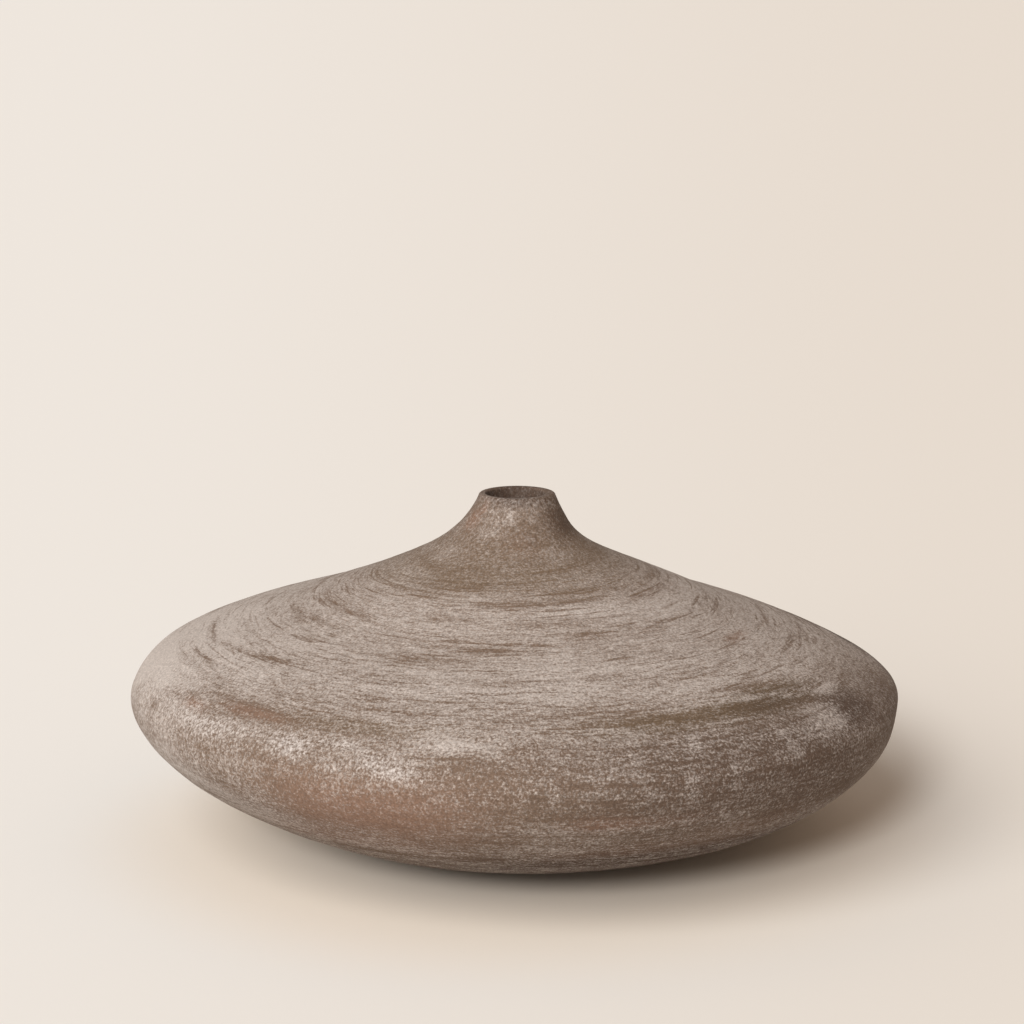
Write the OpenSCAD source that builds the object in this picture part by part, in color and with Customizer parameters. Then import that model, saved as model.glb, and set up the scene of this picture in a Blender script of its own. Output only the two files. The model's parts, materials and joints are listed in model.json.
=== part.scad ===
// Low lens-shaped stoneware vase with a narrow neck, in millimetres.
// It is built the way a potter builds a closed form this wide. A bowl and a shoulder
// are thrown apart and luted rim to rim at the belly, a coil is pressed into that seam
// from inside, a collar is luted into the shoulder for the neck, and a ring under the
// bowl makes the foot. The origin is on the table, under the middle of the vase.

/* [Body] */
// Widest diameter, at the belly seam
belly_w = 400; // [340:5:460]
// Height of the belly seam above the table
belly_h = 80; // [70:1:92]
// Overall height, from the table to the top of the lip
body_h = 184; // [172:1:205]
// Thickness of the thrown wall
wall_t = 6; // [4.5:0.25:7.5]
// Thickness of the bowl's floor
floor_t = 8; // [6.5:0.25:11]
// Slope of the underside where it leaves the foot, in degrees
under_slope = 8; // [5:0.5:12]
// Length over which the wall turns upright below the belly
belly_low_turn = 40; // [30:1:48]
// Length over which the wall turns inwards above the belly
belly_high_turn = 22; // [19:0.5:30]

/* [Shoulder] */
// Diameter of the ring on the shoulder where its height and slope are set
shoulder_w = 208; // [184:2:232]
// Height of that ring above the table
shoulder_h = 130; // [122:1:138]
// Fall of the shoulder at that ring, in degrees
shoulder_slope = 22.5; // [17:0.5:27]

/* [Neck] */
// Diameter of the mouth
mouth_w = 31; // [24:0.5:38]
// Thickness of the lip
lip_t = 4.5; // [3.75:0.25:7]
// Steepness of the neck just under the lip, in degrees
neck_slope = 66; // [56:1:75]
// Length of the straight throat inside the lip
throat_l = 6; // [3:0.5:9]
// Diameter at which the collar meets the shoulder
collar_w = 84; // [72:1:104]
// Run of the bevel that seats the collar in the shoulder, along the inner wall
collar_bevel = 3; // [0:0.25:5]

/* [Seam] */
// Depth of the ridge and groove in the luted belly seam
ridge_h = 2; // [1:0.25:3]
// Width of that ridge where it leaves the rim
ridge_w = 2.5; // [1.5:0.25:3.5]
// Width of the coil pressed over the seam inside, measured along the wall
coil_w = 28; // [20:1:36]
// Thickness of that coil at the seam
coil_t = 6; // [5:0.25:9]

/* [Foot] */
// Outer diameter of the foot ring
foot_w = 124; // [100:2:150]
// Width of the ring's section
foot_t = 10; // [7:0.5:15]
// Height of the bowl's underside above the table
foot_h = 3; // [2.5:0.25:6]
// Depth of the groove that seats the ring in the underside
foot_seat = 1; // [0.5:0.25:2]

/* [Hidden] */

// Roundness of the full turns, and steps along a curve, a tight curve and a corner
$fn = 180;
curve_steps = 20;
tight_steps = 32;
corner_steps = 6;

// Plain radii of the sizes above
belly_r = belly_w / 2;
shoulder_r = shoulder_w / 2;
mouth_r = mouth_w / 2;
lip_r = mouth_r + lip_t;
foot_r = foot_w / 2;
foot_in_r = foot_r - foot_t;
collar_r = collar_w / 2;

// Rounding of the lip outside and inside, and of the foot ring's lower edges
lip_round = 2;
mouth_round = 1.2;
foot_round = 1;

// Flat land on the underside between the ring's groove and the start of the curve
foot_land = 3;
base_r = foot_r + foot_land;

// How far each curve of the outline holds its direction, as shares of its own span
under_share = 0.38;
shoulder_out_share = 0.34;
shoulder_in_share = 0.77;
neck_share = 0.54;
throat_share = 0.3;
collar_in_share = 0.3;
floor_share = 0.55;

// Unit vector at an angle from the radius, and a cubic curve with its direction
function aim(angle) = [cos(angle), sin(angle)];
function unit(v) = v / norm(v);
function curve_at(c, t) =
    pow(1 - t, 3) * c[0] + 3 * pow(1 - t, 2) * t * c[1]
    + 3 * (1 - t) * pow(t, 2) * c[2] + pow(t, 3) * c[3];
function heading_at(c, t) =
    unit(pow(1 - t, 2) * (c[1] - c[0]) + 2 * (1 - t) * t * (c[2] - c[1])
    + pow(t, 2) * (c[3] - c[2]));

// Point on the inner face, one wall inside the outline, which is drawn upwards
function inside_at(c, t) =
    let (h = heading_at(c, t)) curve_at(c, t) + wall_t * [-h[1], h[0]];

// Points of a curve or of its inner face from one share of it to another
function outer_run(c, from, to, steps) =
    [for (i = [0:steps]) curve_at(c, from + (to - from) * i / steps)];
function inner_run(c, from, to, steps) =
    [for (i = [0:steps]) inside_at(c, from + (to - from) * i / steps)];
function reversed(list) = [for (i = [len(list) - 1:-1:0]) list[i]];

// Points of a rounded corner about a centre, from one angle to another
function corner(centre, radius, from, to) =
    [for (i = [0:corner_steps])
        centre + radius * aim(from + (to - from) * i / corner_steps)];

// Share of a falling-radius curve at which it reaches a radius, by halving
function share_at_r(c, radius, low, high, rounds) =
    rounds == 0 ? (low + high) / 2 :
    let (mid = (low + high) / 2)
    curve_at(c, mid)[0] > radius
        ? share_at_r(c, radius, mid, high, rounds - 1)
        : share_at_r(c, radius, low, mid, rounds - 1);
halvings = 24;

// The outline: underside to belly, belly to shoulder, shoulder to lip
base_p = [base_r, foot_h];
belly_p = [belly_r, belly_h];
shoulder_p = [shoulder_r, shoulder_h];
lip_angle = 90 - neck_slope;
lip_centre = [lip_r - lip_round * cos(lip_angle), body_h - lip_round];
lip_p = lip_centre + lip_round * aim(lip_angle);

under_reach = under_share * (belly_r - base_r);
shoulder_out_reach = shoulder_out_share * (belly_r - shoulder_r);
shoulder_in_reach = shoulder_in_share * (shoulder_r - lip_r);
neck_reach = neck_share * (lip_p[1] - shoulder_h);

under_curve = [
    base_p,
    base_p + under_reach * aim(under_slope),
    belly_p - [0, belly_low_turn],
    belly_p
];
belly_curve = [
    belly_p,
    belly_p + [0, belly_high_turn],
    shoulder_p + shoulder_out_reach * aim(-shoulder_slope),
    shoulder_p
];
shoulder_curve = [
    shoulder_p,
    shoulder_p - shoulder_in_reach * aim(-shoulder_slope),
    lip_p + neck_reach * aim(-neck_slope),
    lip_p
];

// Ends of the seam coil, as shares of the two curves that meet at the belly
coil_low_share = 1 - coil_w / 2 / (3 * belly_low_turn);
coil_high_share = coil_w / 2 / (3 * belly_high_turn);

// Where the collar is luted on: the outer edge, and the bevelled inner edge
collar_share = share_at_r(shoulder_curve, collar_r, 0, 1, halvings);
collar_heading = heading_at(shoulder_curve, collar_share);
collar_in_p = inside_at(shoulder_curve, collar_share) + collar_bevel * collar_heading;

// Inside of the neck, from the bevelled seat up to the foot of the straight throat
throat_p = [mouth_r, body_h - mouth_round - throat_l];
throat_curve = [
    collar_in_p,
    collar_in_p + collar_in_share * (collar_in_p[0] - mouth_r) * collar_heading,
    throat_p - [0, throat_share * (throat_p[1] - collar_in_p[1])],
    throat_p
];

// Inside of the bowl: the flat floor runs out into the wall's inner face
floor_z = foot_h + floor_t;
wall_in_p = inside_at(under_curve, floor_share);
wall_in_heading = heading_at(under_curve, floor_share);
floor_p = [base_r, floor_z];
floor_curve = [
    floor_p,
    floor_p + [(wall_in_p[0] - base_r) / 3, 0],
    wall_in_p - (wall_in_p[0] - base_r) / 3 * wall_in_heading,
    wall_in_p
];

// Ridge of the shoulder's rim and groove of the bowl's, in the middle of the wall
seam_mid_r = belly_r - wall_t / 2;
seam_ridge = [
    [seam_mid_r + ridge_w / 2, belly_h],
    [seam_mid_r, belly_h - ridge_h],
    [seam_mid_r - ridge_w / 2, belly_h]
];

// Inner faces on which the seam coil lies, below and above the belly
coil_low_face = inner_run(under_curve, coil_low_share, 1, curve_steps / 2);
coil_high_face = inner_run(belly_curve, 0, coil_high_share, curve_steps / 2);

// Foot ring, seated in the groove of the underside, with softened lower edges
module foot_ring() {
    top_z = foot_h + foot_seat;
    color("#6f5c4f")
        rotate_extrude()
            polygon(concat(
                [[foot_in_r, top_z]],
                corner([foot_in_r + foot_round, foot_round], foot_round, 180, 270),
                corner([foot_r - foot_round, foot_round], foot_round, 270, 360),
                [[foot_r, top_z]]
            ));
}

// Thrown bowl: floor, flaring wall and the grooved rim at the belly
module lower_bowl() {
    underside = [
        [0, foot_h],
        [foot_in_r, foot_h],
        [foot_in_r, foot_h + foot_seat],
        [foot_r, foot_h + foot_seat],
        [foot_r, foot_h]
    ];
    color("#8c7766")
        rotate_extrude()
            polygon(concat(
                underside,
                outer_run(under_curve, 0, 1, tight_steps),
                seam_ridge,
                reversed(coil_low_face),
                reversed(inner_run(under_curve, floor_share, coil_low_share, curve_steps)),
                reversed(outer_run(floor_curve, 0, 1, curve_steps)),
                [[0, floor_z]]
            ));
}

// Coil pressed over the seam from inside and thumbed smooth into both walls
module seam_coil() {
    low_end = coil_low_face[0];
    high_end = coil_high_face[len(coil_high_face) - 1];
    crown = [belly_r - wall_t - coil_t, belly_h];
    pull = 2 * crown - (low_end + high_end) / 2;
    crown_run = [for (i = [1:curve_steps - 1])
        let (t = i / curve_steps)
        pow(t, 2) * low_end + 2 * t * (1 - t) * pull + pow(1 - t, 2) * high_end];
    color("#7d6757")
        rotate_extrude()
            polygon(concat(
                coil_low_face,
                [for (i = [1:len(coil_high_face) - 1]) coil_high_face[i]],
                crown_run
            ));
}

// Thrown shoulder: the ridged rim at the belly, the dome and the bevelled opening
module upper_shell() {
    color("#a29184")
        rotate_extrude()
            polygon(concat(
                outer_run(belly_curve, 0, 1, tight_steps),
                outer_run(shoulder_curve, 0, collar_share, curve_steps),
                [collar_in_p],
                reversed(inner_run(shoulder_curve, 0, collar_share, curve_steps)),
                reversed(inner_run(belly_curve, coil_high_share, 1, curve_steps)),
                reversed(coil_high_face),
                reversed(seam_ridge)
            ));
}

// Thrown collar: the bevel that seats it, the neck, the rounded lip and the throat
module neck_collar() {
    mouth_centre = [mouth_r + mouth_round, body_h - mouth_round];
    color("#8f7d6f")
        rotate_extrude()
            polygon(concat(
                outer_run(shoulder_curve, collar_share, 1, curve_steps),
                corner(lip_centre, lip_round, lip_angle, 90),
                corner(mouth_centre, mouth_round, 90, 180),
                reversed(outer_run(throat_curve, 0, 1, curve_steps))
            ));
}

foot_ring();
lower_bowl();
seam_coil();
upper_shell();
neck_collar();
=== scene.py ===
"""Low lens-shaped stoneware vase, turned by hand and brushed with a pale slip.

The five pieces are turned from the sections that the potter lutes together. Their outline
differs a little from left to right, their skin carries dents and turning ridges, and the
slip is painted on by the materials.
"""

import json
import math
from collections import namedtuple

import bmesh
import bpy
import numpy as np
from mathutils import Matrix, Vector, noise
from mathutils.geometry import interpolate_bezier


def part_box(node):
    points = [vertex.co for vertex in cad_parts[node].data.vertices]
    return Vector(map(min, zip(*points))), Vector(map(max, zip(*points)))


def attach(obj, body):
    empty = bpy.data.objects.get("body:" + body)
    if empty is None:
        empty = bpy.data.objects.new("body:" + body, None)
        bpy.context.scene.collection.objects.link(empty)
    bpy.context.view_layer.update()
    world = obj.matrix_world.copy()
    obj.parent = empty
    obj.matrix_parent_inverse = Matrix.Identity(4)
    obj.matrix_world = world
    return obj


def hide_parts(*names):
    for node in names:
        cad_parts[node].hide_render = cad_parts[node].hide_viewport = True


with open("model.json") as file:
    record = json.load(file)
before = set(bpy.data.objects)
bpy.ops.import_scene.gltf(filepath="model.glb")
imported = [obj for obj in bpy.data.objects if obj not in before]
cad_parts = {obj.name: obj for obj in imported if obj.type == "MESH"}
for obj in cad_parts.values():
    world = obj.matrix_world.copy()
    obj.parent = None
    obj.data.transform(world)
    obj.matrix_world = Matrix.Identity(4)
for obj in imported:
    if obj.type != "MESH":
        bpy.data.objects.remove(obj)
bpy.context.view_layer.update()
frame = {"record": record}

MM = 0.001
TURN = 2 * math.pi
UP = Vector((0, 0, 1))


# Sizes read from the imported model

MOUTH = next(mount for mount in frame["record"]["mounts"] if mount["name"] == "mouth")
MOUTH_R = MOUTH["dims"]["r_mm"] * MM
THROAT = MOUTH["dims"]["length_mm"] * MM
LIP_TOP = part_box("neck_collar")[1].z
COLLAR_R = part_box("neck_collar")[1].x
BELLY_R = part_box("lower_bowl")[1].x
BELLY_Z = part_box("lower_bowl")[1].z
SEAM_RIDGE = BELLY_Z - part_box("upper_shell")[0].z
FOOT_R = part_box("foot_ring")[1].x
FOOT_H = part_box("lower_bowl")[0].z
FOOT_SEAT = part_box("foot_ring")[1].z - FOOT_H
COIL_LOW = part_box("seam_coil")[0].z
COIL_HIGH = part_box("seam_coil")[1].z

# Sizes of the section that both sides share. WALL, FLOOR, LIP and COIL are thicknesses, and
# FOOT_LAND is the flat between the foot and the edge of the underside.
WALL = 6 * MM
FLOOR = 8 * MM
LIP = 4.5 * MM
COIL = 6 * MM
LIP_ROUND = 2 * MM
MOUTH_ROUND = 1.2 * MM
SEAT_BEVEL = 3 * MM
SEAM_RIDGE_W = 2.5 * MM
FOOT_W = 10 * MM
FOOT_ROUND = 1 * MM
FOOT_FILLET = 1.5 * MM
FOOT_LAND = 3 * MM
BASE_R = FOOT_R + FOOT_LAND
SHOULDER_R = 104 * MM

# Slopes in degrees at which the underside leaves the foot and the neck's inside its seat, and
# the share of the underside's steps at which the floor runs out into the wall
UNDER_SLOPE = 8
SEAT_SLOPE = 130
FLOOR_SHARE = 0.55

# The two sides of the outline, as the camera sees them. Heights, reaches and turns are in
# metres and slopes in degrees; belly_out and mouth_out are what a side adds to the radius.
Side = namedtuple(
    "Side",
    "belly_out low_turn high_turn under_reach ring_h ring_slope ring_out ring_in "
    "neck_slope neck_reach mouth_out",
)
LEFT = Side(
    belly_out=1 * MM, low_turn=31 * MM, high_turn=29 * MM, under_reach=47 * MM,
    ring_h=131.5 * MM, ring_slope=20.5, ring_out=49 * MM, ring_in=49 * MM,
    neck_slope=67, neck_reach=27 * MM, mouth_out=0.8 * MM,
)
RIGHT = Side(
    belly_out=-1 * MM, low_turn=48 * MM, high_turn=15 * MM, under_reach=55 * MM,
    ring_h=127.5 * MM, ring_slope=24.5, ring_out=15.5 * MM, ring_in=80 * MM,
    neck_slope=66, neck_reach=31 * MM, mouth_out=-0.8 * MM,
)

# How finely the pieces are divided: the turn into strips, and each stretch of the section.
# Away from the seam, the inner face has one ring for every few of the outer one.
STRIPS = 16
STRIP_STEPS = 32
TURN_STEPS = STRIPS * STRIP_STEPS
UNDER_STEPS = 106
OVER_STEPS = 86
NECK_STEPS = 92
ROUND_STEPS = 8
THROAT_STEPS = 5
FLARE_STEPS = 14
FLOOR_STEPS = 11
COIL_STEPS = 16
LAND_STEPS = 3
INSIDE_FOOT_STEPS = 14
INNER_EVERY = 4

# Vertices nearer than this are one, where two strips meet and on the axis
WELD = 0.002 * MM


# Section of the wall

def aim(slope):
    """Unit vector in the section, at a slope in degrees from the radius."""
    return Vector((math.cos(math.radians(slope)), 0, math.sin(math.radians(slope))))


def arc(centre, radius, start, end):
    """Points of a rounded corner, from one slope in degrees to another."""
    span = (end - start) / ROUND_STEPS
    return [centre + radius * aim(start + span * i) for i in range(ROUND_STEPS + 1)]


def straight(start, end, steps):
    """Evenly spaced points from start to end."""
    return [start.lerp(end, i / steps) for i in range(steps + 1)]


def lip_centre(side):
    """Centre of the rounding on the outside of the lip."""
    inwards = LIP_ROUND * math.sin(math.radians(side.neck_slope))
    return Vector((MOUTH_R + LIP - inwards, 0, LIP_TOP - LIP_ROUND))


def outline(side):
    """Outer line of one side, from the edge of the underside up to the lip."""
    base = Vector((BASE_R, 0, FOOT_H))
    belly = Vector((BELLY_R + side.belly_out, 0, BELLY_Z))
    ring = Vector((SHOULDER_R, 0, side.ring_h))
    fall = aim(-side.ring_slope)
    lip = lip_centre(side) + LIP_ROUND * aim(90 - side.neck_slope)
    under = interpolate_bezier(
        base, base + side.under_reach * aim(UNDER_SLOPE),
        belly - side.low_turn * UP, belly, UNDER_STEPS + 1)
    over = interpolate_bezier(
        belly, belly + side.high_turn * UP,
        ring + side.ring_out * fall, ring, OVER_STEPS + 1)
    neck = interpolate_bezier(
        ring, ring - side.ring_in * fall,
        lip + side.neck_reach * aim(-side.neck_slope), lip, NECK_STEPS + 1)
    return under + over[1:] + neck[1:]


def mouth_line(side, seat):
    """Line of one side over the lip, down the throat and out to the collar's seat."""
    mouth_r = MOUTH_R + side.mouth_out
    inner = Vector((mouth_r + MOUTH_ROUND, 0, LIP_TOP - MOUTH_ROUND))
    top = Vector((mouth_r, 0, LIP_TOP - MOUTH_ROUND))
    throat = top - THROAT * UP
    reach = (throat.z - seat.z) / 3
    flare = interpolate_bezier(
        throat, throat - reach * UP, seat + reach * aim(SEAT_SLOPE), seat, FLARE_STEPS + 1)
    return (arc(lip_centre(side), LIP_ROUND, 90 - side.neck_slope, 90)[1:]
            + arc(inner, MOUTH_ROUND, 90, 180)
            + straight(top, throat, THROAT_STEPS)[1:] + flare[1:])


# A ring is one turn of the section: its point on each side, the way out of the wall where
# the skin has relief, and the length along the skin, which starts at the underside's edge
Ring = namedtuple("Ring", "left right out along")


def outer_skin():
    """Rings of the whole outer face, which the pieces share."""
    left, right = outline(LEFT), outline(RIGHT)
    middle = [(a + b) / 2 for a, b in zip(left, right)]
    rings = []
    along = 0
    for i, point in enumerate(middle):
        heading = middle[min(i + 1, len(middle) - 1)] - middle[max(i - 1, 0)]
        out = Vector((heading.z, 0, -heading.x)).normalized()
        along += (point - middle[i - 1]).length if i else 0
        rings.append(Ring(left[i], right[i], out, along))
    return rings


def plain(left, right, along):
    """Rings without relief, with the length along carried on from a start."""
    rings = []
    last = None
    for a, b in zip(left, right):
        point = (a + b) / 2
        along += (point - last).length if last else 0
        rings.append(Ring(a, b, Vector(), along))
        last = point
    return rings


def thinned(rings):
    """Every few rings of the inner face, with both ends kept."""
    return rings[:-1:INNER_EVERY] + rings[-1:]


# The outer face and, one wall inside it, the inner one. The inner face's length along runs
# the other way, back from the mouth, and starts well past the lip so that no slip reaches it.
SKIN = outer_skin()
LIP_ALONG = SKIN[-1].along
INSIDE_GAP = 100 * MM
INSIDE_ALONG = LIP_ALONG + INSIDE_GAP
INNER = [
    Ring(ring.left - WALL * ring.out, ring.right - WALL * ring.out, Vector(),
         INSIDE_ALONG + LIP_ALONG - ring.along)
    for ring in SKIN
]

# Numbers of the rings where one piece gives way to the next
BELLY_RING = UNDER_STEPS
FLOOR_RING = round(FLOOR_SHARE * UNDER_STEPS)
COLLAR_RING = next(
    i for i, ring in enumerate(SKIN) if i > BELLY_RING and ring.left.x < COLLAR_R)
COIL_LOW_RING = next(i for i, ring in enumerate(INNER) if ring.left.z > COIL_LOW)
COIL_HIGH_RING = next(
    i for i, ring in enumerate(INNER) if i > BELLY_RING and ring.left.z > COIL_HIGH)


def collar_seat():
    """Bevelled seat of the collar, a little up the neck from the shoulder's inner face."""
    shoulder, above = INNER[COLLAR_RING], INNER[COLLAR_RING + 1]
    up = (above.left - shoulder.left).normalized() * SEAT_BEVEL
    return shoulder.left + up, shoulder.right + up


def seam_ridge():
    """Ridge of the shoulder's rim and groove of the bowl's, in the middle of the wall."""
    def points(side):
        middle = Vector((BELLY_R + side.belly_out - WALL / 2, 0, BELLY_Z))
        half = Vector((SEAM_RIDGE_W / 2, 0, 0))
        return [middle + half, middle - SEAM_RIDGE * UP, middle - half]

    return plain(points(LEFT), points(RIGHT), SKIN[BELLY_RING].along)


# Dents and flats that hands and ribs left: azimuth in degrees, then length along, half
# width, half height and depth in millimetres. A bulge has a depth below nought.
Dent = namedtuple("Dent", "azimuth along half_w half_h depth")
DENTS = [
    Dent(0, 178, 60, 9, -0.5), Dent(0, 158, 70, 8, 0.7), Dent(0, 141, 70, 8, -0.6),
    Dent(0, 112, 70, 9, 0.5), Dent(0, 97, 70, 8, -0.5), Dent(180, 176, 60, 8, 0.4),
    Dent(180, 164, 60, 7, -0.6), Dent(250, 128, 55, 16, 0.4), Dent(300, 150, 60, 14, 0.4),
    Dent(80, 120, 60, 16, 0.5), Dent(120, 160, 60, 12, 0.4),
]

# Lumps, the ridges of the turning and the fine scrapes of a rib: their width in millimetres,
# how far a ridge or a scrape runs round the vase, and how far each stands out of the skin
LUMP_MM = 60
LUMP_DEPTH = 0.45 * MM
TURNING_MM = 6.5
TURNING_RUN_MM = 75
TURNING_DEPTH = 0.14 * MM
SCRAPE_MM = 2.8
SCRAPE_RUN_MM = 24
SCRAPE_DEPTH = 0.05 * MM


def relief(ring, turn):
    """How far the skin stands out of its smooth outline at a turn round the axis."""
    radius = (ring.left.x + ring.right.x) / 2 / MM
    x, y = radius * math.cos(turn), radius * math.sin(turn)
    along = ring.along / MM
    lump = noise.noise(Vector((x, y, along)) / LUMP_MM)
    ridge = noise.noise(Vector((x / TURNING_RUN_MM, y / TURNING_RUN_MM, along / TURNING_MM)))
    scrape = noise.noise(Vector((x / SCRAPE_RUN_MM, y / SCRAPE_RUN_MM, along / SCRAPE_MM)))
    height = LUMP_DEPTH * lump + TURNING_DEPTH * ridge + SCRAPE_DEPTH * scrape
    for dent in DENTS:
        off = math.radians(dent.azimuth) - turn
        across = radius * math.remainder(off, TURN) / dent.half_w
        above = (along - dent.along) / dent.half_h
        height -= dent.depth * MM * math.exp(-across ** 2 - above ** 2)
    return height


def place(ring, turn):
    """Point of a ring at a turn round the axis, between the left and the right outline."""
    right_share = (1 + math.cos(turn)) / 2
    point = ring.left.lerp(ring.right, right_share)
    if ring.out.length:
        point += relief(ring, turn) * ring.out
    return Vector((point.x * math.cos(turn), point.x * math.sin(turn), point.z))


def facing(i, turn):
    """Way that the outer skin faces, the same for the two pieces that meet in a seam."""
    step = TURN / TURN_STEPS
    upwards = place(SKIN[i + 1], turn) - place(SKIN[i - 1], turn)
    onwards = place(SKIN[i], turn + step) - place(SKIN[i], turn - step)
    return onwards.cross(upwards).normalized()


# What the brush and the kiln left on the skin, and painted shade, by the length along it in
# millimetres. "slip" is the share that slip covers, "drag" how far the brush dragged it into
# lines, and "grain" how rough the mottle is. "olive" is how far the clay fired to that colour.
# "dark" is partly how far the clay fired dark and partly painted shade: towards and on the
# underside, where less slip is also partly painted shade under the belly, and from the lip into
# the throat and over the whole inside.
# The underside's edge is at 0, the belly at 164, the shoulder's ring at 276 and the lip's
# edge at 378. Then come the rim, the throat and the flare down to 417, and all of the bare
# inside lies past 478.
ALONG_SKIN = {
    "slip": [
        # Thinner towards the underside, partly painted shade under the belly
        (0, 0), (15, 0.04), (60, 0.14), (90, 0.2), (110, 0.22), (125, 0.22), (155, 0.18),
        (170, 0.23), (185, 0.32), (200, 0.44), (215, 0.55), (230, 0.57), (290, 0.57),
        (305, 0.46), (320, 0.25), (335, 0.15), (350, 0.11), (365, 0.08), (375, 0.04), (380, 0),
    ],
    "drag": [
        (60, 0.9), (105, 0.85), (135, 0.45), (160, 0.25), (190, 0.3), (203, 0.65), (230, 0.8),
        (300, 1), (325, 0.5), (350, 0.1), (379, 0),
    ],
    "grain": [
        (0, 0.3), (15, 0.6), (60, 1.3), (110, 1.1), (140, 0.85), (180, 1), (225, 1.05),
        (250, 0.8), (300, 0.7), (379, 0.6), (386, 0.3), (395, 0.2),
    ],
    # Painted shade: darker towards the underside and on it, and from the lip into the throat and
    # the whole inside
    "dark": [(60, 0.8), (110, 0.4), (150, 0.1), (320, 0), (374, 0.2), (380, 0.5), (390, 1)],
    "olive": [(300, 0), (325, 0.5), (345, 0.4), (370, 0.1)],
}

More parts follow.
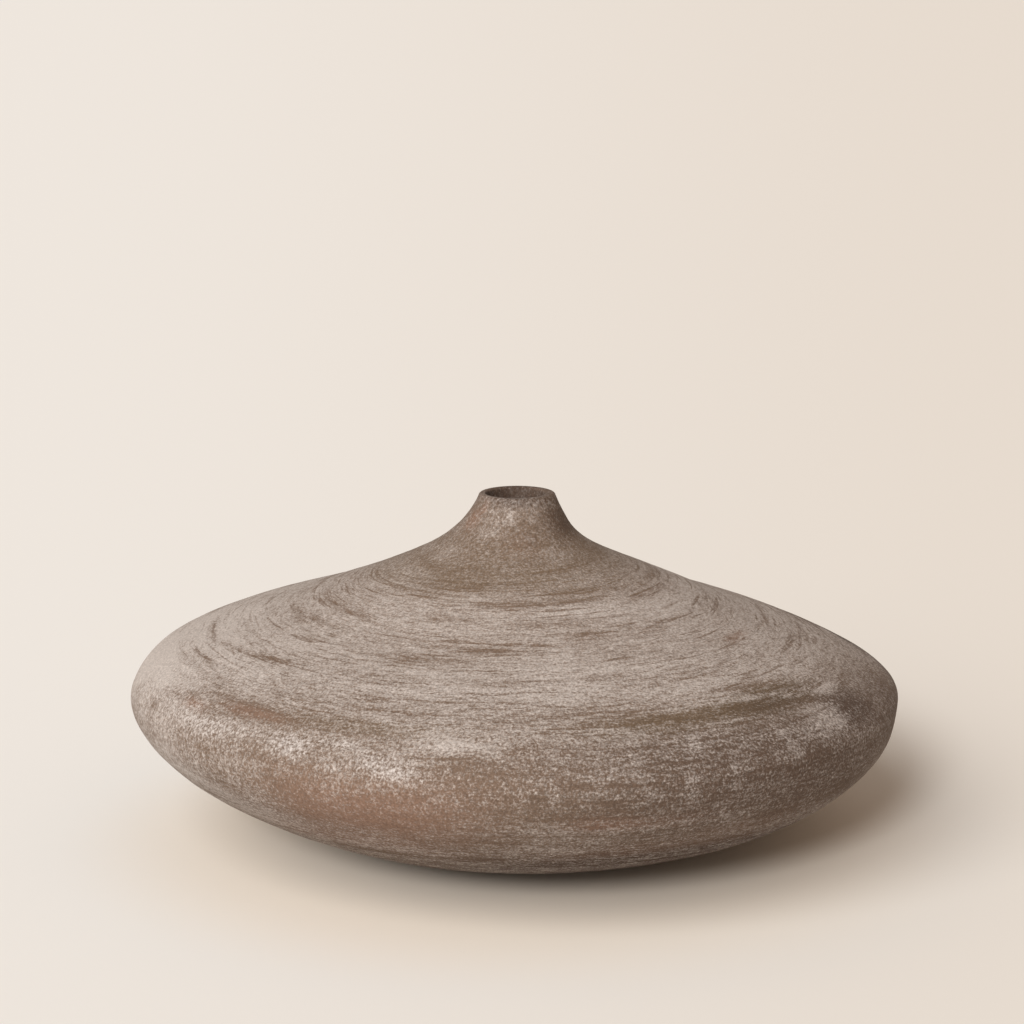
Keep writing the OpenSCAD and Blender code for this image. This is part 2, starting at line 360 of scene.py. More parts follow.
# Strokes and patches on the side that the camera sees, which are added to the fields above:
# azimuth in degrees from +X, length along in millimetres, half width in degrees and half
# height in millimetres, amount at the middle, and rise in millimetres along for each degree.
# "chalk" is a paler bloom where the slip stayed thick, and "rust" where the clay fired red.
Stroke = namedtuple("Stroke", "azimuth along half_w half_h amount rise")
FRONT = {
    "slip": [
        # Broad, soft differences. The left side has more slip than the front, partly painted
        # light, and the right less below the belly, partly painted shade.
        (-166, 200, 24, 45, 0.4, 0), (-145, 135, 18, 22, 0.2, 0), (-50, 160, 34, 36, -0.13, 0),
        (-62, 88, 34, 24, -0.14, 0), (-3, 255, 14, 70, 0.08, 0), (-62, 112, 24, 11, -0.1, 0),
        (-119, 116, 14, 10, 0.08, 0), (-50, 150, 9, 9, 0.07, 0), (-74, 152, 9, 8, -0.07, 0),
        (-118, 214, 12, 9, -0.08, 0), (-66, 224, 10, 8, -0.07, 0), (-88, 184, 9, 9, -0.07, 0),
        # Bare band above the belly on the right, in sloping streaks
        (-73, 204, 9, 2.4, -0.4, 0), (-59, 203, 9, 5.2, -0.52, -0.1),
        (-44, 200, 10, 5, -0.56, -0.25), (-34, 195, 5, 3, -0.36, -0.5),
        (-40, 211, 9, 5, -0.54, -0.6), (-70, 211.5, 8, 1.5, -0.26, 0),
        (-50, 190, 12, 4, -0.24, 0), (-46, 176, 9, 14, -0.1, 0),
        # Bare patches above and below the belly, and a pale one among those on the far right
        (-27, 182, 5, 12, -0.26, 0), (-36, 186, 4, 11, 0.15, 0), (-15, 172, 9, 17, -0.2, 0),
        (-133, 194, 8, 5, -0.4, 0), (-161, 207, 7, 4, -0.22, 0), (-157, 197, 7, 2.4, -0.26, 0),
        (-157, 174, 2, 4, -0.3, 0), (-116, 196, 13, 6, -0.3, 0), (-148, 205, 6, 5, -0.24, 0),
        (-151, 188, 5, 5, -0.22, 0), (-113, 150, 14, 17, -0.24, 0), (-86, 154, 13, 6, -0.1, 0),
        (-64, 160, 15, 12, -0.06, 0), (-42, 150, 16, 15, -0.03, 0), (-104, 108, 20, 5, -0.1, 0),
        (-108, 142, 14, 14, -0.1, 0),
        # Thin lines low on the right
        (-60, 104, 20, 1.6, 0.2, 0), (-70, 112, 16, 1.4, 0.16, 0), (-55, 96, 18, 1.4, 0.16, 0),
        (-62, 100, 18, 1.4, -0.14, 0),
        # Scraped arcs on the shoulder
        (-152, 231, 13, 2.4, -0.46, 0.3), (-143, 235.5, 4, 2.5, -0.4, 0.2),
        (-175, 224, 10, 2.6, -0.36, 0), (-166, 243, 8, 1.8, -0.26, 0.2),
        (-157, 214, 9, 2.4, -0.4, 0.1), (-163, 266, 9, 2.6, -0.36, 0),
        (-150, 269, 9, 1.8, -0.34, 0), (-160, 281, 12, 2.6, -0.34, 0),
        (-144, 281, 6, 2.4, -0.36, 0), (-134, 278, 6, 1.6, -0.32, 0),
        (-112, 256, 13, 1.9, -0.3, 0), (-112, 292, 9, 3, -0.33, 0.2),
        (-120, 239, 8, 1.8, -0.2, 0), (-97, 268, 6, 1.5, -0.38, 0),
        (-91, 285, 13, 9, -0.13, 0), (-80, 289, 9, 2, -0.28, 0), (-70, 278, 8, 3.2, -0.27, 0),
        (-90, 305, 14, 1.6, -0.32, 0), (-69, 306, 13, 1.5, -0.3, 0), (-67, 314, 13, 1.5, -0.3, 0),
        (-72, 241, 6, 2.2, -0.35, 0), (-90, 239, 7, 1.8, -0.2, 0), (-20, 300, 14, 1.8, -0.3, 0),
        (-12, 307, 12, 2.6, -0.26, 0), (-5, 242, 10, 1.6, -0.4, -0.3),
        (-27, 249, 6, 2.6, -0.3, 0), (-3, 222, 9, 1.6, -0.36, -0.2),
        (-16, 226, 7, 1.6, -0.32, 0),
        # Where the slip lies thicker on the shoulder and just above the belly
        (-81, 230, 10, 13, 0.16, 0), (-62, 240, 11, 18, 0.06, 0), (-98, 190, 5, 5, 0.38, 0),
        (-66, 298, 18, 6, 0.28, 0), (-32, 289, 14, 8, 0.2, 0), (-28, 197, 5, 4, 0.44, 0),
        (-40, 179, 8, 5, 0.22, 0),
        # Thin upright wisps on the right of the belly
        (-63.6, 186, 1.3, 6, 0.24, 0), (-66, 164, 1.2, 9, 0.22, 0.6), (-48, 184, 1, 8, 0.24, 0),
        (-47.5, 170, 1.4, 7, 0.22, 0), (-59, 167, 1, 8, 0.22, 0),
        # Where the slip lies thicker on the shoulder, on the left side and on the neck
        (-55, 223, 14, 5, 0.28, 0), (-170, 190, 12, 14, 0.28, 0), (-113, 309, 12, 5, 0.24, 0),
        (-152, 150, 9, 10, 0.2, 0), (-118, 361, 14, 6, 0.12, 0), (-97, 369, 7, 4, 0.34, 0),
        (-58, 343, 10, 5, 0.16, 0), (-148, 345, 8, 5, 0.16, 0),
    ],
    "drag": [
        (-72, 166, 30, 26, 0.34, 0), (-28, 150, 14, 26, 0.2, 0),
    ],
    "chalk": [
        (-131, 181, 12, 6, 0.26, 0), (-123, 178, 3.2, 7, 0.5, 0), (-115, 184, 4, 3.6, 0.5, 0),
        (-109, 175, 4.5, 6, 0.56, -0.4), (-102, 171, 5, 4, 0.3, 0), (-140, 176, 7, 7, 0.34, 0),
        (-152, 180, 10, 8, 0.22, 0), (-94, 163, 9, 5, 0.22, 0), (-98, 190, 4, 4, 0.1, 0),
        (-84, 180, 7, 8, 0.19, 0), (-81, 126, 12, 3, 0.19, 0), (-127, 132, 2.5, 5, 0.26, 0),
        (-60, 188, 9, 5, 0.11, 0), (-40, 177, 8, 4, 0.15, 0),
    ],
    "rust": [
        (-111, 148, 16, 20, 0.9, 0), (-118, 118, 20, 12, 0.7, 0), (-133, 193, 7, 4, 0.6, 0),
        (-146, 186, 3, 3.5, 0.8, 0), (-78, 148, 5, 5, 0.5, 0), (-74, 112, 12, 8, 0.5, 0),
        (-150, 366, 12, 6, 0.9, 0), (-139, 374, 6, 4, 0.8, 0), (-26, 249, 6, 4, 0.6, 0),
        (-66, 118, 20, 11, 0.5, 0), (-72, 146, 10, 4, 0.6, 0), (-54, 134, 9, 5, 0.3, 0),
        (-84, 352, 14, 8, 0.3, 0),
    ],
    "olive": [
        (-60, 202, 20, 8, 0.8, 0.1), (-41, 203, 12, 10, 0.8, 0), (-112, 197, 14, 6, 0.5, 0),
    ],
    "dark": [
        # The broad strokes on the right of the belly and low on the right are painted shade. The
        # one on the neck's right and the one along the lip's edge darken them, and the small ones
        # at the bare patches are clay that fired dark.
        (-28, 365, 26, 12, 0.5, 0), (-95, 378, 40, 4, 0.45, 0), (-28, 184, 6, 12, 0.4, 0),
        (-42, 203, 12, 8, 0.3, 0), (-78, 356, 8, 5, 0.2, 0), (-50, 166, 34, 32, 0.65, 0),
        (-14, 176, 9, 20, 0.25, 0), (-62, 92, 34, 30, 0.8, 0),
    ],
}

# The power at which a stroke falls off from its middle, so that it is full with a soft edge
STROKE_EDGE = 3

# The painted light and shade among the front's strokes goes to the far side with them.
# The far side is strewn with strokes like those in front, moved at random by up to so much
BACK_SEED = 7
BACK_SHIFT_DEG = 14
BACK_SHIFT_MM = 7


def all_strokes():
    """Strokes of both sides. Those of the far side mirror the front's, shifted at random."""
    shift = np.random.default_rng(BACK_SEED)
    both = {}
    for name, rows in FRONT.items():
        front = [Stroke(*row) for row in rows]
        back = [mark._replace(azimuth=-mark.azimuth + BACK_SHIFT_DEG * shift.uniform(-1, 1),
                              along=mark.along + BACK_SHIFT_MM * shift.uniform(-1, 1),
                              rise=-mark.rise) for mark in front]
        both[name] = front + back
    return both


STROKES = all_strokes()


# Pieces turned from their rings

def turned(name, rings, closed, seams=()):
    """Solid piece turned from its rings. Its faces on a seam are shaded as one with the next."""
    bm = bmesh.new()
    number = bm.verts.layers.int.new("ring")
    section = []
    for i, ring in enumerate(rings):
        vert = bm.verts.new((ring.left + ring.right) / 2)
        vert[number] = i
        section.append(vert)
    pairs = list(zip(section, section[1:])) + ([(section[-1], section[0])] if closed else [])
    edges = [bm.edges.new(pair) for pair in pairs]
    # One strip is spun and then repeated, which is far quicker than a spin of the whole turn
    bmesh.ops.spin(bm, geom=section + edges, cent=(0, 0, 0), axis=(0, 0, 1),
                   angle=TURN / STRIPS, steps=STRIP_STEPS)
    bmesh.ops.spin(bm, geom=bm.verts[:] + bm.edges[:] + bm.faces[:], cent=(0, 0, 0),
                   axis=(0, 0, 1), angle=TURN - TURN / STRIPS, steps=STRIPS - 1,
                   use_duplicate=True)
    bmesh.ops.remove_doubles(bm, verts=bm.verts, dist=WELD)
    bmesh.ops.recalc_face_normals(bm, faces=bm.faces)
    turns = [math.atan2(vert.co.y, vert.co.x) for vert in bm.verts]
    numbers = [vert[number] for vert in bm.verts]
    for vert, turn, i in zip(bm.verts, turns, numbers):
        vert.co = place(rings[i], turn)
    for face in bm.faces:
        face.smooth = True
    mesh = bpy.data.meshes.new(name)
    bm.to_mesh(mesh)
    bm.free()
    mesh.attributes.remove(mesh.attributes["ring"])
    paint(mesh, np.array(turns), np.array([rings[i].along for i in numbers]) / MM)
    # A vector of no length leaves a vertex the normal that its faces give it
    shared = {id(SKIN[i]): i for i in seams}
    mesh.normals_split_custom_set_from_vertices([
        facing(shared[id(rings[i])], turn) if id(rings[i]) in shared else Vector()
        for i, turn in zip(numbers, turns)
    ])
    piece = bpy.data.objects.new(name, mesh)
    bpy.context.scene.collection.objects.link(piece)
    return piece


def brushed_on(strokes, turns, along):
    """Sum of soft-edged strokes at the vertices, each as strong as it says at its middle."""
    total = np.zeros(len(turns))
    for mark in strokes:
        off = np.degrees(turns) - mark.azimuth
        off -= 360 * np.round(off / 360)
        across = np.abs(off / mark.half_w)
        above = np.abs((along - mark.along - mark.rise * off) / mark.half_h)
        total += mark.amount * np.exp(-across ** STROKE_EDGE - above ** STROKE_EDGE)
    return total


def paint(mesh, turns, along):
    """Writes the length along, in metres, and the painted fields to the vertices."""
    fields = {name: np.interp(along, *zip(*stops)) for name, stops in ALONG_SKIN.items()}
    for name, strokes in STROKES.items():
        fields[name] = fields.get(name, 0) + brushed_on(strokes, turns, along)
    fields["along"] = along * MM
    for name, values in fields.items():
        mesh.attributes.new(name, "FLOAT", "POINT").data.foreach_set("value", values)


def dress(piece, node, material):
    """Lets a piece stand for its solid and gives it its finish."""
    piece.data.materials.append(material)
    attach(piece, "root")
    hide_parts(node)


def make_bowl(material):
    """Thrown bowl: the underside with the foot's groove, the wall up to its rim, the floor."""
    floor_z = FOOT_H + FLOOR
    seat_z = FOOT_H + FOOT_SEAT
    foot_in = FOOT_R - FOOT_W
    under = (
        straight(Vector((0, 0, FOOT_H)), Vector((foot_in, 0, FOOT_H)), INSIDE_FOOT_STEPS)
        + [Vector((foot_in, 0, seat_z)), Vector((FOOT_R, 0, seat_z))]
        + straight(Vector((FOOT_R, 0, FOOT_H)), SKIN[0].left, LAND_STEPS)[:-1]
    )
    wall, above = INNER[FLOOR_RING], INNER[FLOOR_RING + 1]
    flat = Vector((BASE_R, 0, floor_z))
    reach = (wall.left.x - BASE_R) / 3
    pull = reach * (above.left - wall.left).normalized()

    def floor(end):
        """Points from the wall's inner face down to the floor and in to the axis."""
        run = interpolate_bezier(end, end - pull, flat + reach * aim(0), flat, FLOOR_STEPS + 1)
        return run[1:] + straight(flat, Vector((0, 0, floor_z)), FLOOR_STEPS)[1:]

    rings = (
        plain(under, under, -BASE_R)
        + SKIN[:BELLY_RING + 1] + seam_ridge()
        + INNER[COIL_LOW_RING + 1:BELLY_RING + 1][::-1]
        + thinned(INNER[FLOOR_RING:COIL_LOW_RING + 1][::-1])
        + plain(floor(wall.left), floor(wall.right), wall.along)
    )
    piece = turned("thrown_bowl", rings, closed=False, seams=[BELLY_RING])
    dress(piece, "lower_bowl", material)


def make_shoulder(material):
    """Thrown shoulder: the dome from its ridged rim up to the bevel that seats the collar."""
    seat_left, seat_right = collar_seat()
    rings = (
        SKIN[BELLY_RING:COLLAR_RING + 1]
        + plain([seat_left], [seat_right], INNER[COLLAR_RING].along)
        + thinned(INNER[COIL_HIGH_RING:COLLAR_RING + 1][::-1])
        + INNER[BELLY_RING:COIL_HIGH_RING][::-1]
        + seam_ridge()[::-1]
    )
    piece = turned("thrown_shoulder", rings, closed=True, seams=[BELLY_RING, COLLAR_RING])
    dress(piece, "upper_shell", material)


def make_neck(material):
    """Thrown collar: the neck up to the lip, and the throat down to the bevelled seat."""
    seat_left, seat_right = collar_seat()
    rings = (
        SKIN[COLLAR_RING:]
        + plain(mouth_line(LEFT, seat_left), mouth_line(RIGHT, seat_right), LIP_ALONG)
    )
    piece = turned("thrown_neck", rings, closed=True, seams=[COLLAR_RING])
    dress(piece, "neck_collar", material)


def make_coil(material):
    """Coil thumbed over the belly seam from inside."""
    low, high = INNER[COIL_LOW_RING], INNER[COIL_HIGH_RING]

    def crown(side, start, end):
        """Points of the coil's free face, over its crown at the seam."""
        top = Vector((BELLY_R + side.belly_out - WALL - COIL, 0, BELLY_Z))
        pull = 2 * top - (start + end) / 2
        shares = [i / COIL_STEPS for i in range(1, COIL_STEPS)]
        return [start.lerp(pull, share).lerp(pull.lerp(end, share), share) for share in shares]

    rings = (
        INNER[COIL_LOW_RING:COIL_HIGH_RING + 1]
        + plain(crown(LEFT, high.left, low.left), crown(RIGHT, high.right, low.right), high.along)
    )
    piece = turned("seam_coil_thumbed", rings, closed=True)
    dress(piece, "seam_coil", material)


def make_foot(material):
    """Foot ring, smoothed into the underside with a fillet of slip on both sides."""
    inner, outer, top = FOOT_R - FOOT_W, FOOT_R, FOOT_H + FOOT_SEAT
    fillet_z = FOOT_H - FOOT_FILLET
    points = (
        [Vector((inner, 0, top))]
        + arc(Vector((inner - FOOT_FILLET, 0, fillet_z)), FOOT_FILLET, 90, 0)
        + arc(Vector((inner + FOOT_ROUND, 0, FOOT_ROUND)), FOOT_ROUND, 180, 270)
        + arc(Vector((outer - FOOT_ROUND, 0, FOOT_ROUND)), FOOT_ROUND, 270, 360)
        + arc(Vector((outer + FOOT_FILLET, 0, fillet_z)), FOOT_FILLET, 180, 90)
        + [Vector((outer, 0, top))]
    )
    piece = turned("turned_foot", plain(points, points, -BASE_R), closed=True)
    dress(piece, "foot_ring", material)


# Materials

def linear(hex_colour):
    """Scene-linear colour of an sRGB hex value."""
    channels = [int(hex_colour[i:i + 2], 16) / 255 for i in (1, 3, 5)]
    return (*[c / 12.92 if c <= 0.04045 else ((c + 0.055) / 1.055) ** 2.4 for c in channels], 1)


def add(tree, kind, inputs=None, **settings):
    """Adds a shader node, with its settings, and sets or links its inputs."""
    node = tree.nodes.new("ShaderNode" + kind)
    for name, value in settings.items():
        setattr(node, name, value)
    for socket, value in (inputs or {}).items():
        if isinstance(value, bpy.types.NodeSocket):
            tree.links.new(value, node.inputs[socket])
        else:
            node.inputs[socket].default_value = value
    return node


def new_material(name):
    """Material of a name, with its node tree and the sockets of its shader."""
    material = bpy.data.materials.new(name)
    material.use_nodes = True
    tree = material.node_tree
    return material, tree, tree.nodes["Principled BSDF"].inputs


# Colours of the fired clay and of the slip. DARK_CLAY_AND_SHADE is also the painted shade low
# down, on the right and inside the throat.
CLAY = "#6b594b"
RUST_CLAY = "#7b6050"
OLIVE_CLAY = "#63523f"
DARK_CLAY_AND_SHADE = "#45352b"
SLIP = "#b1a8a1"
CHALK = "#b7b0ab"

# Sizes of the patterns, at the photograph's scale of about 0.5 mm to a pixel: the clay's grit
# and specks, the trail of one bristle, a dab of slip, a scratch, a band that the brush left, a
# cloud of thicker slip, and how far the brush wavers. A RUN is how many times as long as wide
# its marks are. The grit, the specks and the trail of one bristle are under half a millimetre,
# too fine to show, so GRIT, SPECK and BRISTLE are drawn about three times coarser.
GRIT = 1.25 * MM
SPECK = 1.1 * MM
BRISTLE = 1.8 * MM
BRISTLE_RUN = 4
DAB = 2.2 * MM
DAB_RUN = 1.5
SCRATCH = 2.6 * MM
SCRATCH_RUN = 17
BAND = 13 * MM
BAND_RUN = 6
CLOUD = 38 * MM
WAVER = 4 * MM

# How far the slip and the grit stand out of the skin
SLIP_HEIGHT = 0.2 * MM
GRIT_HEIGHT = 0.3 * MM

# Value that a noise varies about
NOISE_MIDDLE = 0.5

# How strongly each pattern thickens the slip or wears it off, and how much the specks and the
# dabs add to the bloom. The clouds count for more where the slip was dabbed on than where the
# brush dragged it.
MOTTLE_GAIN = 2.3
BAND_GAIN = 0.6
CLOUD_GAIN_DABBED = 1.1
CLOUD_GAIN_DRAGGED = 0.4
SCRATCH_LOSS = 0.5
SPECK_BLOOM = 1.4
DAB_BLOOM = 1.2


def make_slipped_stoneware():
    """Coarse brown stoneware, fired matt, with a pale slip brushed on nearly dry.

    The brush leaves slip on the grit's tops and in streaks along its stroke, so the clay
    shows through as specks and broken arcs, and nothing on it shines.
    """
    material, tree, finish = new_material("slipped stoneware")
    position = add(tree, "TexCoord").outputs["Object"]
    field = {name: add(tree, "Attribute", attribute_name=name).outputs["Fac"]
             for name in ("along", "slip", "drag", "grain", "chalk", "rust", "olive", "dark")}
    cloud = add(tree, "TexNoise", {
        "Vector": position, "Scale": 1 / CLOUD, "Detail": 4, "Roughness": 0.6}).outputs["Fac"]
    waver = add(tree, "Math", {0: cloud, 1: WAVER, 2: field["along"]},
                operation="MULTIPLY_ADD").outputs[0]
    split = add(tree, "SeparateXYZ", {0: position}).outputs
    flat = add(tree, "CombineXYZ", {"X": split["X"], "Y": split["Y"]}).outputs[0]
    rise = add(tree, "CombineXYZ", {"Z": waver}).outputs[0]

    def along_brush(run):
        """Coordinates in which marks are drawn out round the vase by so many times."""
        drawn = add(tree, "VectorMath", {0: flat, "Scale": 1 / run}, operation="SCALE").outputs[0]
        return add(tree, "VectorMath", {0: drawn, 1: rise}, operation="ADD").outputs[0]

    # The patterns. A dab is drawn out upwards, and the other marks of the brush round the vase.
    grit = add(tree, "TexNoise", {
        "Vector": position, "Scale": 1 / GRIT, "Detail": 2, "Roughness": 0.8}).outputs["Fac"]
    speck = add(tree, "TexNoise", {
        "Vector": position, "Scale": 1 / SPECK, "Detail": 1, "Roughness": 0.6}).outputs["Fac"]
    bristle = add(tree, "TexNoise", {
        "Vector": along_brush(BRISTLE_RUN), "Scale": 1 / BRISTLE, "Detail": 2,
        "Roughness": 0.9}).outputs["Fac"]
    upright = add(tree, "CombineXYZ", {"X": 1, "Y": 1, "Z": 1 / DAB_RUN}).outputs[0]
    lifted = add(tree, "VectorMath", {0: position, 1: upright}, operation="MULTIPLY").outputs[0]
    dab = add(tree, "TexNoise", {
        "Vector": lifted, "Scale": 1 / DAB, "Detail": 3, "Roughness": 0.8}).outputs["Fac"]
    scratch = add(tree, "TexNoise", {
        "Vector": along_brush(SCRATCH_RUN), "Scale": 1 / SCRATCH, "Detail": 2,
        "Roughness": 0.6}).outputs["Fac"]
    band = add(tree, "TexNoise", {
        "Vector": along_brush(BAND_RUN), "Scale": 1 / BAND, "Detail": 3,
        "Roughness": 0.6}).outputs["Fac"]

    # How thick the slip lies: the mottle of grit and brush, then bands and clouds, then scratches
    brushed = add(tree, "Mix", {"Factor": field["drag"], "A": dab, "B": bristle}).outputs[0]
    mottle = add(tree, "Math", {0: grit, 1: brushed}, operation="ADD").outputs[0]
    mottle = add(tree, "Math", {0: mottle, 1: 2 * NOISE_MIDDLE}, operation="SUBTRACT").outputs[0]
    mottle = add(tree, "Math", {0: mottle, 1: field["grain"]}, operation="MULTIPLY").outputs[0]
    cover = add(tree, "Math", {0: mottle, 1: MOTTLE_GAIN, 2: field["slip"]},
                operation="MULTIPLY_ADD").outputs[0]
    cloud_gain = add(tree, "MapRange", {
        "Value": field["drag"], "To Min": CLOUD_GAIN_DABBED,
        "To Max": CLOUD_GAIN_DRAGGED}).outputs[0]
    for part, gain in ((band, BAND_GAIN), (cloud, cloud_gain)):
        centred = add(tree, "Math", {0: part, 1: NOISE_MIDDLE}, operation="SUBTRACT").outputs[0]
        cover = add(tree, "Math", {0: centred, 1: gain, 2: cover},
                    operation="MULTIPLY_ADD").outputs[0]
    line = add(tree, "MapRange", {
        "Value": scratch, "From Min": 0.55, "From Max": 0.66, "To Max": -SCRATCH_LOSS},
        interpolation_type="SMOOTHSTEP").outputs[0]
    cover = add(tree, "Math", {0: line, 1: field["drag"], 2: cover},
                operation="MULTIPLY_ADD").outputs[0]
    coat = add(tree, "MapRange", {"Value": cover, "From Min": -0.2, "From Max": 1.22},
               interpolation_type="SMOOTHSTEP").outputs[0]
    bloom = add(tree, "Math", {0: speck, 1: SPECK_BLOOM, 2: field["chalk"]},
                operation="MULTIPLY_ADD").outputs[0]
    bloom = add(tree, "Math", {0: dab, 1: DAB_BLOOM, 2: bloom},
                operation="MULTIPLY_ADD").outputs[0]
    bloom = add(tree, "MapRange", {"Value": bloom, "From Min": 1.5, "From Max": 2.6},
                interpolation_type="SMOOTHSTEP").outputs[0]

    # The colours: the clay as it fired, darkened by "dark", which is partly clay that fired dark
    # and partly painted shade, the slip and the bloom over it, and darker specks
    colour = linear(CLAY)
    for amount, tint in ((field["rust"], RUST_CLAY), (field["olive"], OLIVE_CLAY),
                         (field["dark"], DARK_CLAY_AND_SHADE), (coat, SLIP), (bloom, CHALK)):
        colour = add(tree, "Mix", {"Factor": amount, "A": colour, "B": linear(tint)},
                     data_type="RGBA").outputs["Result"]
    shade = add(tree, "MapRange", {
        "Value": speck, "From Min": 0.3, "From Max": 0.7,
        "To Min": 0.78, "To Max": 1.22}).outputs[0]
    colour = add(tree, "VectorMath", {0: colour, "Scale": shade}, operation="SCALE").outputs[0]
    finish["Roughness"].default_value = 0.9
    finish["Specular IOR Level"].default_value = 0.25
    tree.links.new(colour, finish["Base Color"])
    bump = add(tree, "Bump", {"Height": cover, "Strength": 0.4, "Distance": SLIP_HEIGHT})
    tree.links.new(bump.outputs["Normal"], finish["Normal"])
    return material


def make_bare_stoneware():
    """Unglazed brown stoneware, turned and sponged while leather-hard, then fired matt.

    The tool drags the grit into faint rings and the sponge washes the clay off it, so the
    surface is evenly coarse, with darker and paler grains.
    """
    material, tree, finish = new_material("bare stoneware")
    position = add(tree, "TexCoord").outputs["Object"]
    split = add(tree, "SeparateXYZ", {0: position}).outputs
    flat = add(tree, "CombineXYZ", {"X": split["X"], "Y": split["Y"]}).outputs[0]
    radius = add(tree, "VectorMath", {0: flat}, operation="LENGTH").outputs["Value"]
    section = add(tree, "CombineXYZ", {"X": radius, "Z": split["Z"]}).outputs[0]
    ring = add(tree, "TexNoise", {
        "Vector": section, "Scale": 1 / SCRATCH, "Detail": 2}).outputs["Fac"]
    speck = add(tree, "TexNoise", {
        "Vector": position, "Scale": 1 / SPECK, "Detail": 1, "Roughness": 0.6}).outputs["Fac"]
    cloud = add(tree, "TexNoise", {
        "Vector": position, "Scale": 1 / CLOUD, "Detail": 4, "Roughness": 0.6}).outputs["Fac"]
    colour = add(tree, "Mix", {"Factor": cloud, "A": linear(CLAY), "B": linear(RUST_CLAY)},
                 data_type="RGBA").outputs["Result"]
    grain = add(tree, "Math", {0: speck, 1: ring}, operation="ADD").outputs[0]
    shade = add(tree, "MapRange", {
        "Value": grain, "From Min": 0.7, "From Max": 1.3,
        "To Min": 0.75, "To Max": 1.2}).outputs[0]
    colour = add(tree, "VectorMath", {0: colour, "Scale": shade}, operation="SCALE").outputs[0]
    finish["Roughness"].default_value = 0.92
    finish["Specular IOR Level"].default_value = 0.25
    tree.links.new(colour, finish["Base Color"])
    bump = add(tree, "Bump", {"Height": grain, "Strength": 0.5, "Distance": GRIT_HEIGHT})
    tree.links.new(bump.outputs["Normal"], finish["Normal"])
    return material


# Stage, light and camera

# The floor, out to the horizon. Out to GLOW_START from the vase's axis it carries a painted
# warm glow of light thrown back from the vase, which is gone by GLOW_END. It carries painted
# shade to the right, like a lamp's fall-off, by a point's way to the right as a share of its
# distance. The distance has SHADE_OFF added, so that the change is slow near the vase.
FLOOR_R = 80
FLOOR_SEGMENTS = 64
GLOW_START = 0.7 * BELLY_R
GLOW_END = 250 * MM
SHADE_OFF = 1.5
SHADE_SHARE = 0.2
PAPER = "#ededea"
# PAPER_SHADE_RIGHT is painted shade on the right, and PAPER_GLOW a painted warm glow about the
# vase
PAPER_SHADE_RIGHT = "#e5e1da"
PAPER_GLOW = "#f0e6d8"

# The lamps, with angles in degrees, and the colour of the light that the room throws back
Lamp = namedtuple("Lamp", "azimuth height spread strength")
KEY = Lamp(azimuth=236, height=34, spread=48, strength=2.4)
FILL = Lamp(azimuth=254, height=25, spread=12, strength=1.5)
ROOM_LIGHT = "#a7978a"

# The photograph's frame, the vase's width in it, and the camera, which looks down by PITCH
# degrees at a point AIM_H above the table and CAMERA_X beside the vase's axis
FRAME_PX = 1024
VASE_PX = 769
SENSOR_MM = 36
LENS_MM = 100
PITCH = 11
AIM_H = 173.5 * MM
CAMERA_X = -2.63 * MM


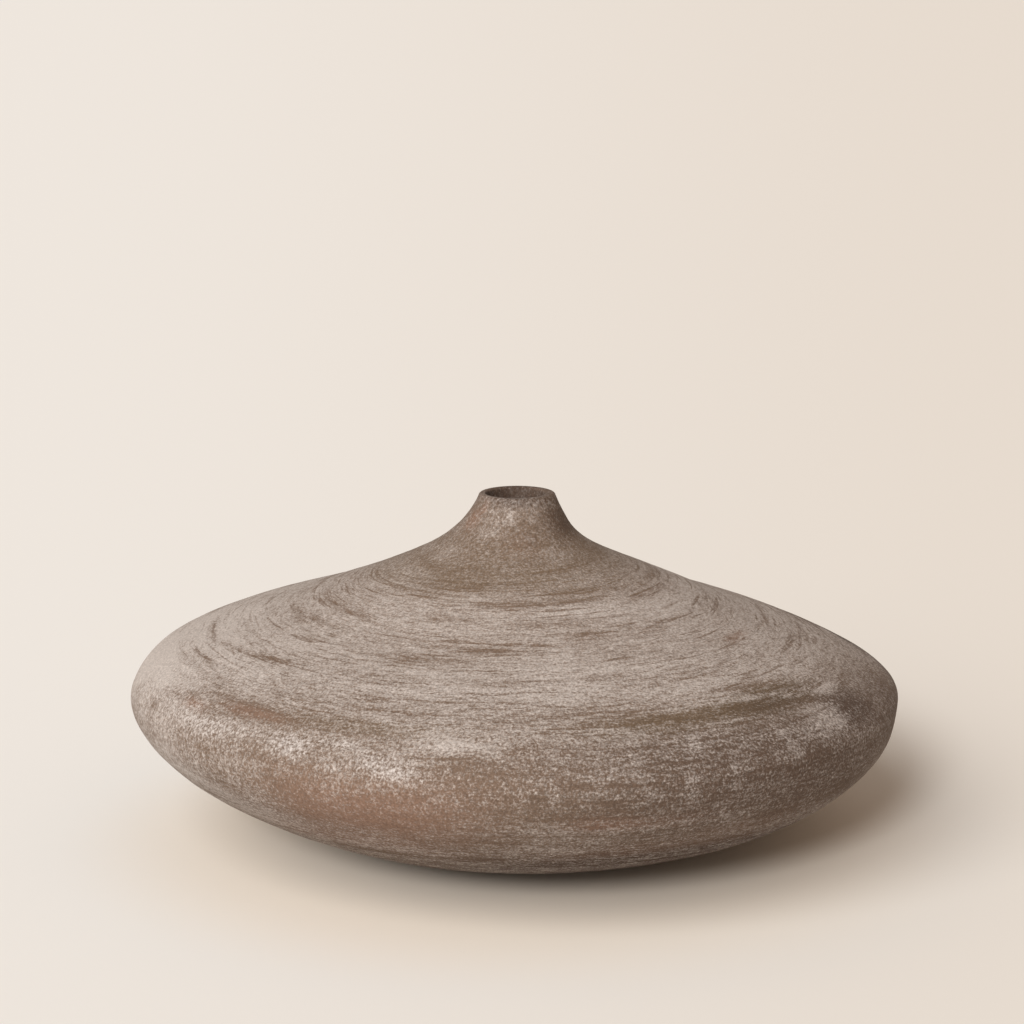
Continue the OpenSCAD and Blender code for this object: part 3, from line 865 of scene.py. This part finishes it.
def make_stage():
    """Sheet of pale paper, with a painted warm glow about the vase and painted shade to its
    right.
    """
    bm = bmesh.new()
    bmesh.ops.create_circle(bm, cap_ends=True, segments=FLOOR_SEGMENTS, radius=FLOOR_R)
    mesh = bpy.data.meshes.new("studio_floor")
    bm.to_mesh(mesh)
    bm.free()
    floor = bpy.data.objects.new("studio_floor", mesh)
    bpy.context.scene.collection.objects.link(floor)
    material, tree, finish = new_material("matte paper floor")
    position = add(tree, "TexCoord").outputs["Object"]
    split = add(tree, "SeparateXYZ", {0: position}).outputs
    away = add(tree, "VectorMath", {0: position}, operation="LENGTH").outputs["Value"]
    # Painted warm glow of light thrown back from the vase, full near its axis
    glow = add(tree, "MapRange", {
        "Value": away, "From Min": GLOW_START, "From Max": GLOW_END, "To Min": 1, "To Max": 0},
        interpolation_type="SMOOTHSTEP").outputs[0]
    # Painted shade, darker to the right
    reach = add(tree, "Math", {0: away, 1: SHADE_OFF}, operation="ADD").outputs[0]
    slant = add(tree, "Math", {0: split["X"], 1: reach}, operation="DIVIDE").outputs[0]
    shade = add(tree, "MapRange", {
        "Value": slant, "From Min": -SHADE_SHARE, "From Max": SHADE_SHARE},
        interpolation_type="SMOOTHSTEP").outputs[0]
    colour = add(tree, "Mix", {"Factor": shade, "A": linear(PAPER), "B": linear(PAPER_SHADE_RIGHT)},
                 data_type="RGBA").outputs["Result"]
    colour = add(tree, "Mix", {"Factor": glow, "A": colour, "B": linear(PAPER_GLOW)},
                 data_type="RGBA").outputs["Result"]
    tree.links.new(colour, finish["Base Color"])
    finish["Roughness"].default_value = 1
    finish["Specular IOR Level"].default_value = 0
    mesh.materials.append(material)


def make_sun(name, lamp):
    """Soft lamp far off, shining from its azimuth and height, as broad as its spread."""
    data = bpy.data.lights.new(name, "SUN")
    data.energy = lamp.strength
    data.angle = math.radians(lamp.spread)
    sun = bpy.data.objects.new(name, data)
    sun.rotation_euler = (math.radians(90 - lamp.height), 0, math.radians(lamp.azimuth + 90))
    bpy.context.scene.collection.objects.link(sun)


def make_light():
    """Broad key lamp in front on the left, a lower and smaller fill, and a warm, dimmer room.

    The camera and any gloss see the room as pale as the paper.
    """
    world = bpy.data.worlds.new("studio")
    bpy.context.scene.world = world
    world.use_nodes = True
    tree = world.node_tree
    path = add(tree, "LightPath").outputs
    seen = path["Is Camera Ray"]
    for ray in ("Is Glossy Ray", "Is Transmission Ray"):
        seen = add(tree, "Math", {0: seen, 1: path[ray]}, operation="MAXIMUM").outputs[0]
    colour = add(tree, "Mix", {"Factor": seen, "A": linear(ROOM_LIGHT), "B": linear(PAPER)},
                 data_type="RGBA").outputs["Result"]
    tree.links.new(colour, tree.nodes["Background"].inputs["Color"])
    make_sun("key", KEY)
    make_sun("fill", FILL)


def make_camera():
    """Camera in front of the vase, as far off as makes it as wide as in the photograph."""
    data = bpy.data.cameras.new("camera")
    data.sensor_width = SENSOR_MM
    data.lens = LENS_MM
    distance = LENS_MM / SENSOR_MM * FRAME_PX * 2 * BELLY_R / VASE_PX
    camera = bpy.data.objects.new("camera", data)
    tilt = math.radians(PITCH)
    camera.location = (CAMERA_X, -distance * math.cos(tilt), AIM_H + distance * math.sin(tilt))
    camera.rotation_euler = (math.pi / 2 - tilt, 0, 0)
    bpy.context.scene.collection.objects.link(camera)
    bpy.context.scene.camera = camera


slipped = make_slipped_stoneware()
bare = make_bare_stoneware()
make_bowl(slipped)
make_shoulder(slipped)
make_neck(slipped)
make_coil(bare)
make_foot(bare)
make_stage()
make_light()
make_camera()

bpy.context.scene.view_settings.view_transform = "Standard"
